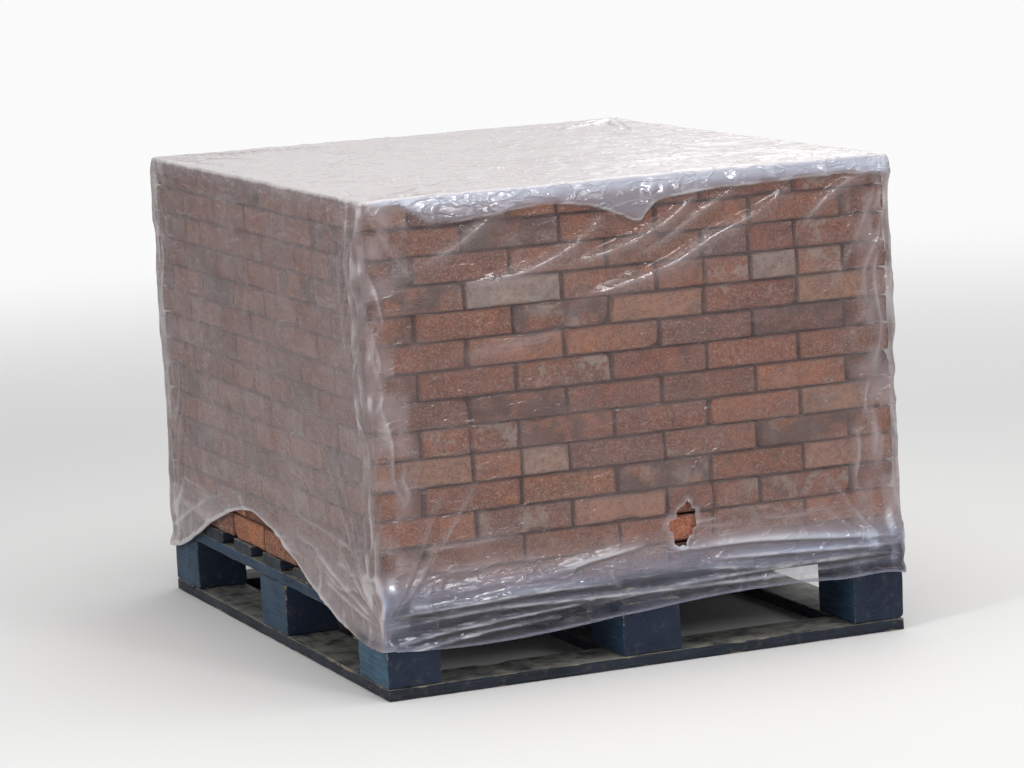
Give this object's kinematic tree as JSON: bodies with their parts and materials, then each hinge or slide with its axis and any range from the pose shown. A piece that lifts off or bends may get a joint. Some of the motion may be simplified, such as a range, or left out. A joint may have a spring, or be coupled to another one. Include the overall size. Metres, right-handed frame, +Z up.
{
  "type": "pallet of bricks",
  "caption": "Block pallet stacked with rough reclaimed bricks in broken bond, under a translucent shrink film hood.",
  "frame": {"origin": "on the floor, under the centre of the pallet", "axes": "+Z up, +Y along the pallet's 1200 mm side, +X along its 1000 mm side; the front is at -Y"},
  "size_m": [1.0034, 1.2034, 0.8637],
  "materials": {
    "brick": "rough fired clay, orange to brown-pink, dusty, with traces of lime mortar",
    "worn_blue_paint": "worn, dirty blue paint on rough-sawn softwood",
    "fresh_blue_paint": "brighter blue paint on a newer block",
    "film": "thin translucent shrink film, milky where it is thick or folded"
  },
  "bodies": {
    "root": {"base_board_back": "worn_blue_paint", "base_board_front": "worn_blue_paint", "base_board_left": "worn_blue_paint", "base_board_middle": "worn_blue_paint", "base_board_right": "worn_blue_paint", "block_back_left": "worn_blue_paint", "block_back_middle": "worn_blue_paint", "block_back_right": "worn_blue_paint", "block_centre_left": "worn_blue_paint", "block_centre_middle": "worn_blue_paint", "block_centre_right": "worn_blue_paint", "block_front_left": "fresh_blue_paint", "block_front_middle": "worn_blue_paint", "block_front_right": "worn_blue_paint", "brick_core": "brick", "course_01": "brick", "course_02": "brick", "course_03": "brick", "course_04": "brick", "course_05": "brick", "course_06": "brick", "course_07": "brick", "course_08": "brick", "course_09": "brick", "course_10": "brick", "course_11": "brick", "course_12": "brick", "course_13": "brick", "course_14": "brick", "deck_board_1": "worn_blue_paint", "deck_board_2": "worn_blue_paint", "deck_board_3": "worn_blue_paint", "deck_board_4": "worn_blue_paint", "deck_board_5": "worn_blue_paint", "deck_board_6": "worn_blue_paint", "deck_board_7": "worn_blue_paint", "shrink_hood": "film", "stringer_left": "worn_blue_paint", "stringer_middle": "worn_blue_paint", "stringer_right": "worn_blue_paint"}
  },
  "joints": []
}
